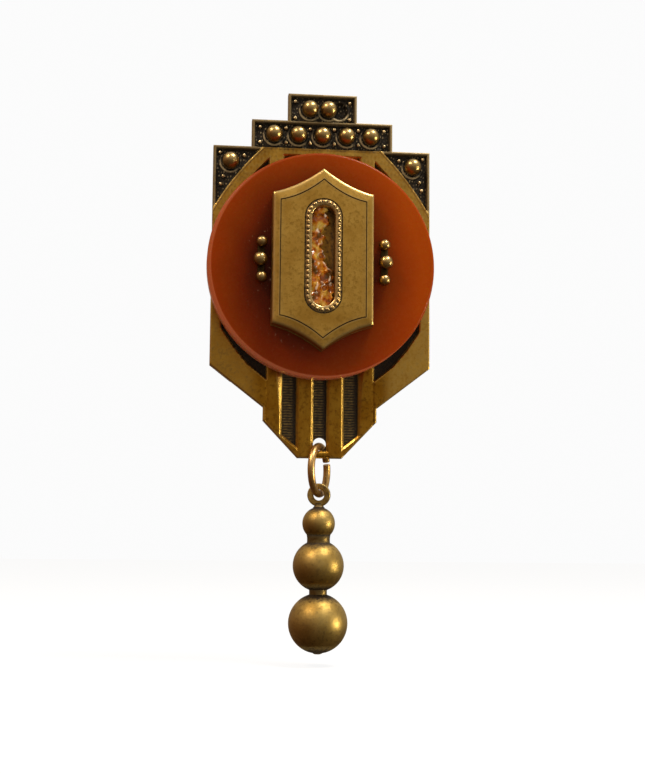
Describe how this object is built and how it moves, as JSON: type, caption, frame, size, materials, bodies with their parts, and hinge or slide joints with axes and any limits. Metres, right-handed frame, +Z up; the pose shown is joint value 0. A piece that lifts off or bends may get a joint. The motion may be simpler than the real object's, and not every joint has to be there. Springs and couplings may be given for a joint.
{
  "type": "brooch",
  "caption": "Stepped art-deco brooch with an amber disc, a raised plaque, a hanging drop of balls and a bar pin with a safety catch on the back.",
  "frame": {"origin": "on the flat back face, on the frame's middle line, level with the middle of the disc", "axes": "+Z up the brooch as it is worn, +Y out of the back towards the cloth, +X to the right seen from the front"},
  "size_m": [0.0287, 0.0109, 0.0714],
  "materials": {
    "antique_brass": "antiqued, polished high spots",
    "satin_brass": "satin with faint patina",
    "dark_brass": "oxidised",
    "ring_wire": "smooth drawn wire",
    "finding_brass": "satin",
    "pin_steel": "drawn",
    "amber_plastic": "translucent, polished",
    "old_glue": "glossy, bubbled"
  },
  "bodies": {
    "frame": {"frame_plate": "antique_brass", "top_bead_1": "antique_brass", "top_bead_2": "antique_brass", "row_bead_1": "antique_brass", "row_bead_2": "antique_brass", "row_bead_3": "antique_brass", "row_bead_4": "antique_brass", "row_bead_5": "antique_brass", "corner_bead_left": "antique_brass", "corner_bead_right": "antique_brass", "side_bead_left_1": "antique_brass", "side_bead_left_2": "antique_brass", "side_bead_left_3": "antique_brass", "side_bead_right_1": "antique_brass", "side_bead_right_2": "antique_brass", "side_bead_right_3": "antique_brass", "amber_disc": "amber_plastic", "plaque_shell": "satin_brass", "stone_cup": "dark_brass", "beaded_border": "satin_brass", "glue_residue": "old_glue", "rivet_post_upper": "dark_brass", "rivet_post_lower": "dark_brass", "side_strip_left": "dark_brass", "side_strip_right": "dark_brass", "pin_bar": "finding_brass", "hinge_rivet": "finding_brass"},
    "ring": {"jump_ring": "ring_wire"},
    "drop": {"eye_pin": "antique_brass", "ball_small": "antique_brass", "collar_upper": "dark_brass", "ball_middle": "antique_brass", "collar_lower": "dark_brass", "ball_large": "antique_brass"},
    "pin": {"pin_stem": "pin_steel"},
    "catch": {"catch_rotor": "finding_brass"}
  },
  "joints": [
    {"name": "ring_swing", "type": "hinge", "parent": "frame", "child": "ring", "pos_m": [0, -0.0009, -0.02373], "axis": [0.9063, -0.4226, 0], "range_deg": [-50, 40]},
    {"name": "drop_swing", "type": "hinge", "parent": "ring", "child": "drop", "pos_m": [0, -0.0009, -0.02867], "axis": [0.4226, 0.9063, 0], "range_deg": [-90, 90]},
    {"name": "pin_hinge", "type": "hinge", "parent": "frame", "child": "pin", "pos_m": [-0.0104, 0.0024, 0.013], "axis": [0, 0, 1], "range_deg": [0, 95]},
    {"name": "catch_turn", "type": "hinge", "parent": "frame", "child": "catch", "pos_m": [0.0091, 0.0024, 0.013], "axis": [1, 0, 0], "range_deg": [0, 75]}
  ]
}
